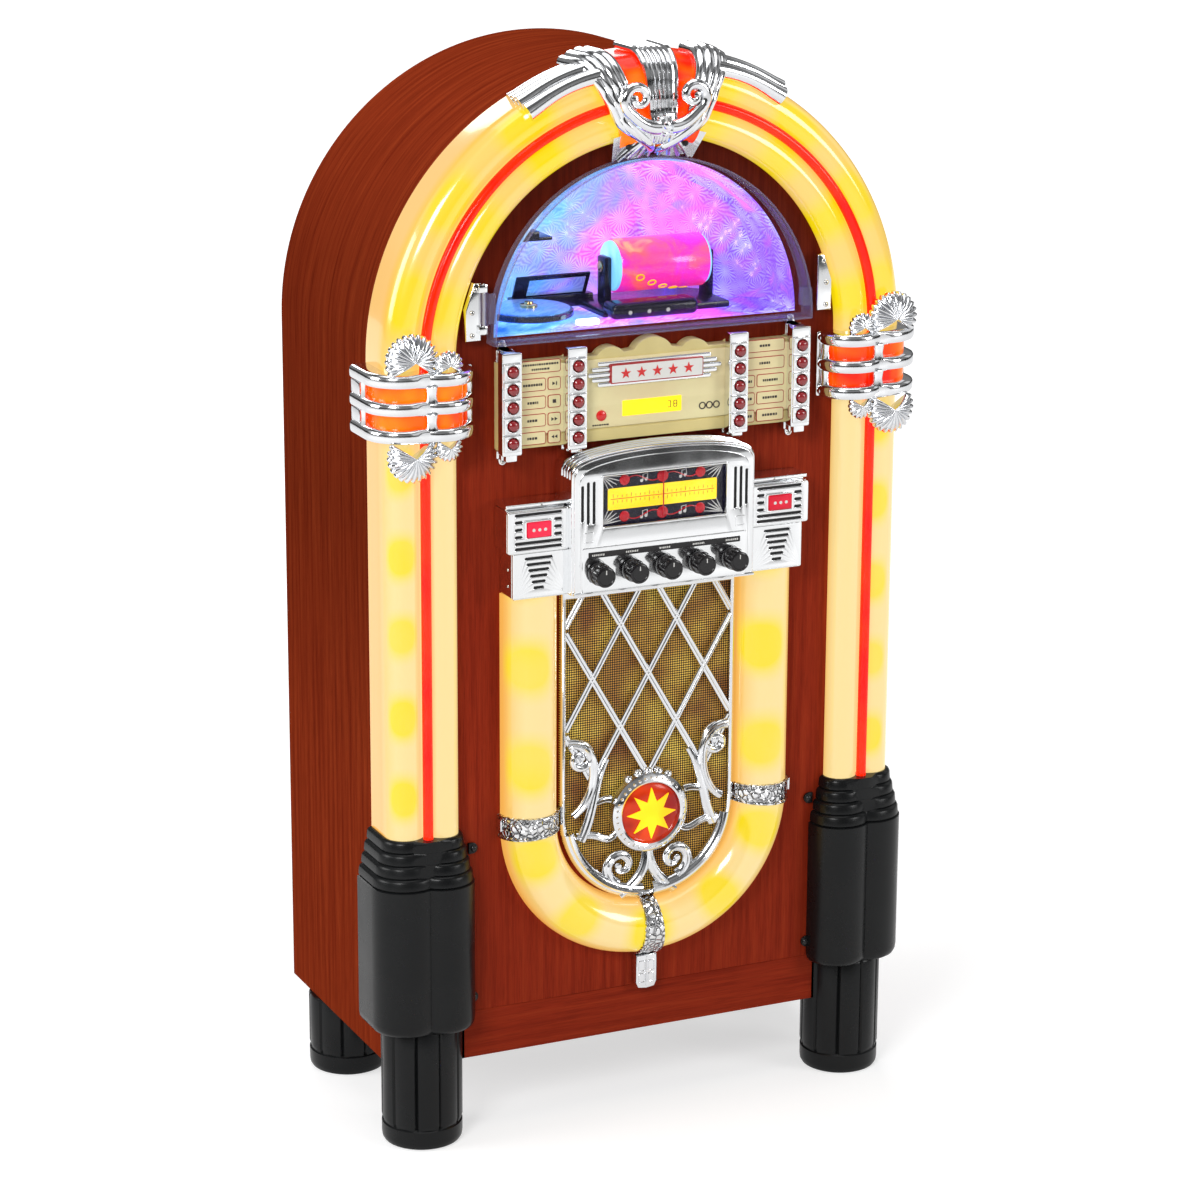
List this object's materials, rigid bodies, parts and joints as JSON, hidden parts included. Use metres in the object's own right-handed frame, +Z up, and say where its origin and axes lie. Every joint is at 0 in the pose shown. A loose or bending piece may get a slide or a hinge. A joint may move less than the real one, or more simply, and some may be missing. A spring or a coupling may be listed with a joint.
{
  "type": "jukebox",
  "caption": "Table-height arch-top jukebox with glowing light tubes, a hinged display window, song keys, a tuner unit and a speaker grille.",
  "frame": {"origin": "on the floor, at the bottom centre of the whole object's box", "axes": "+Z up, -Y the front that faces the listener, +X to the listener's right"},
  "size_m": [0.576, 0.344, 1.064],
  "materials": {
    "wood": "satin lacquered mahogany veneer",
    "black_plastic": "satin",
    "cream_diffuser": "translucent, lit from inside",
    "red_rod": "translucent, lit from inside",
    "chrome": "polished",
    "amber_lens": "translucent, lit from inside",
    "clear_acrylic": "clear",
    "display_foil": "holographic foil",
    "drum_print": "printed, lit from inside",
    "cream_plastic": "satin",
    "red_keys": "gloss",
    "dial": "printed, lit from behind",
    "grille_cloth": "woven",
    "steel": "satin"
  },
  "bodies": {
    "cabinet": {"cabinet_shell": "wood", "front_panel": "wood", "front_panel_top": "wood", "bottom_board": "wood", "back_panel": "black_plastic", "leg_front_left": "black_plastic", "leg_front_right": "black_plastic", "leg_back_left": "black_plastic", "leg_back_right": "black_plastic", "boot_left": "black_plastic", "boot_right": "black_plastic", "drum_stand": "black_plastic", "arch_light_cover": "cream_diffuser", "column_light_cover_left": "cream_diffuser", "column_light_cover_right": "cream_diffuser", "u_light_cover": "cream_diffuser", "red_rod": "red_rod", "clamp_left": "chrome", "clamp_right": "chrome", "crown_bracket": "chrome", "window_hinge": "chrome", "button_strip_1": "chrome", "button_strip_2": "chrome", "button_strip_3": "chrome", "button_strip_4": "chrome", "tuner_housing": "chrome", "u_strap_left": "chrome", "u_strap_right": "chrome", "u_strap_bottom": "chrome", "grille_lattice": "chrome", "medallion": "chrome", "clamp_lens_left": "amber_lens", "clamp_lens_right": "amber_lens", "crown_lens": "amber_lens", "display_niche": "display_foil", "keypad_panel": "cream_plastic", "dial_plate": "dial", "grille_cloth": "grille_cloth", "speaker": "steel"},
    "window_door": {"window_door": "clear_acrylic"},
    "disc_platter": {"disc_platter": "black_plastic"},
    "light_drum": {"light_drum": "drum_print"},
    "key_left_1": {"key_left_1": "red_keys"},
    "key_left_2": {"key_left_2": "red_keys"},
    "key_left_3": {"key_left_3": "red_keys"},
    "key_left_4": {"key_left_4": "red_keys"},
    "key_left_5": {"key_left_5": "red_keys"},
    "key_right_1": {"key_right_1": "red_keys"},
    "key_right_2": {"key_right_2": "red_keys"},
    "key_right_3": {"key_right_3": "red_keys"},
    "key_right_4": {"key_right_4": "red_keys"},
    "key_right_5": {"key_right_5": "red_keys"},
    "knob_volume": {"knob_volume": "black_plastic"},
    "knob_treble": {"knob_treble": "black_plastic"},
    "knob_tuning": {"knob_tuning": "black_plastic"},
    "knob_bass": {"knob_bass": "black_plastic"},
    "knob_band": {"knob_band": "black_plastic"},
    "tuning_needle": {"tuning_needle": "red_keys"},
    "power_button": {"power_button": "red_keys"},
    "light_button": {"light_button": "red_keys"}
  },
  "joints": [
    {"name": "window_swing", "type": "hinge", "parent": "cabinet", "child": "window_door", "pos_m": [-0.1735, -0.1205, 0.829], "axis": [0, 0, -1], "range_deg": [0, 95]},
    {"name": "platter_spin", "type": "hinge", "parent": "cabinet", "child": "disc_platter", "pos_m": [-0.1, -0.056, 0.807], "axis": [0, 0, 1], "continuous": true},
    {"name": "drum_spin", "type": "hinge", "parent": "cabinet", "child": "light_drum", "pos_m": [0.043, -0.036, 0.842], "axis": [1, 0, 0], "continuous": true},
    {"name": "key_left_1_press", "type": "slide", "parent": "cabinet", "child": "key_left_1", "axis": [0, 1, 0], "range_m": [0, 0.0015], "stiffness_N_per_m": 600, "springref_m": -0.0003},
    {"name": "key_left_2_press", "type": "slide", "parent": "cabinet", "child": "key_left_2", "axis": [0, 1, 0], "range_m": [0, 0.0015], "stiffness_N_per_m": 600, "springref_m": -0.0003},
    {"name": "key_left_3_press", "type": "slide", "parent": "cabinet", "child": "key_left_3", "axis": [0, 1, 0], "range_m": [0, 0.0015], "stiffness_N_per_m": 600, "springref_m": -0.0003},
    {"name": "key_left_4_press", "type": "slide", "parent": "cabinet", "child": "key_left_4", "axis": [0, 1, 0], "range_m": [0, 0.0015], "stiffness_N_per_m": 600, "springref_m": -0.0003},
    {"name": "key_left_5_press", "type": "slide", "parent": "cabinet", "child": "key_left_5", "axis": [0, 1, 0], "range_m": [0, 0.0015], "stiffness_N_per_m": 600, "springref_m": -0.0003},
    {"name": "key_right_1_press", "type": "slide", "parent": "cabinet", "child": "key_right_1", "axis": [0, 1, 0], "range_m": [0, 0.0015], "stiffness_N_per_m": 600, "springref_m": -0.0003},
    {"name": "key_right_2_press", "type": "slide", "parent": "cabinet", "child": "key_right_2", "axis": [0, 1, 0], "range_m": [0, 0.0015], "stiffness_N_per_m": 600, "springref_m": -0.0003},
    {"name": "key_right_3_press", "type": "slide", "parent": "cabinet", "child": "key_right_3", "axis": [0, 1, 0], "range_m": [0, 0.0015], "stiffness_N_per_m": 600, "springref_m": -0.0003},
    {"name": "key_right_4_press", "type": "slide", "parent": "cabinet", "child": "key_right_4", "axis": [0, 1, 0], "range_m": [0, 0.0015], "stiffness_N_per_m": 600, "springref_m": -0.0003},
    {"name": "key_right_5_press", "type": "slide", "parent": "cabinet", "child": "key_right_5", "axis": [0, 1, 0], "range_m": [0, 0.0015], "stiffness_N_per_m": 600, "springref_m": -0.0003},
    {"name": "volume_turn", "type": "hinge", "parent": "cabinet", "child": "knob_volume", "pos_m": [-0.0706, -0.1645, 0.572], "axis": [0, -1, 0], "range_deg": [-150, 150]},
    {"name": "treble_turn", "type": "hinge", "parent": "cabinet", "child": "knob_treble", "pos_m": [-0.0353, -0.1645, 0.572], "axis": [0, -1, 0], "range_deg": [-150, 150]},
    {"name": "tuning_turn", "type": "hinge", "parent": "cabinet", "child": "knob_tuning", "pos_m": [0, -0.1645, 0.572], "axis": [0, -1, 0], "range_deg": [-150, 150]},
    {"name": "bass_turn", "type": "hinge", "parent": "cabinet", "child": "knob_bass", "pos_m": [0.0353, -0.1645, 0.572], "axis": [0, -1, 0], "range_deg": [-150, 150]},
    {"name": "band_turn", "type": "hinge", "parent": "cabinet", "child": "knob_band", "pos_m": [0.0706, -0.1645, 0.572], "axis": [0, -1, 0], "range_deg": [-150, 150]},
    {"name": "needle_slide", "type": "slide", "parent": "cabinet", "child": "tuning_needle", "axis": [1, 0, 0], "range_m": [-0.056, 0.056]},
    {"name": "power_press", "type": "slide", "parent": "cabinet", "child": "power_button", "axis": [0, 1, 0], "range_m": [0, 0.002], "stiffness_N_per_m": 500, "springref_m": -0.0003},
    {"name": "light_press", "type": "slide", "parent": "cabinet", "child": "light_button", "axis": [0, 1, 0], "range_m": [0, 0.002], "stiffness_N_per_m": 500, "springref_m": -0.0003}
  ],
  "couplings": [
    {"joint": "needle_slide", "follows": "tuning_turn", "m_per_rad": -0.021008}
  ]
}
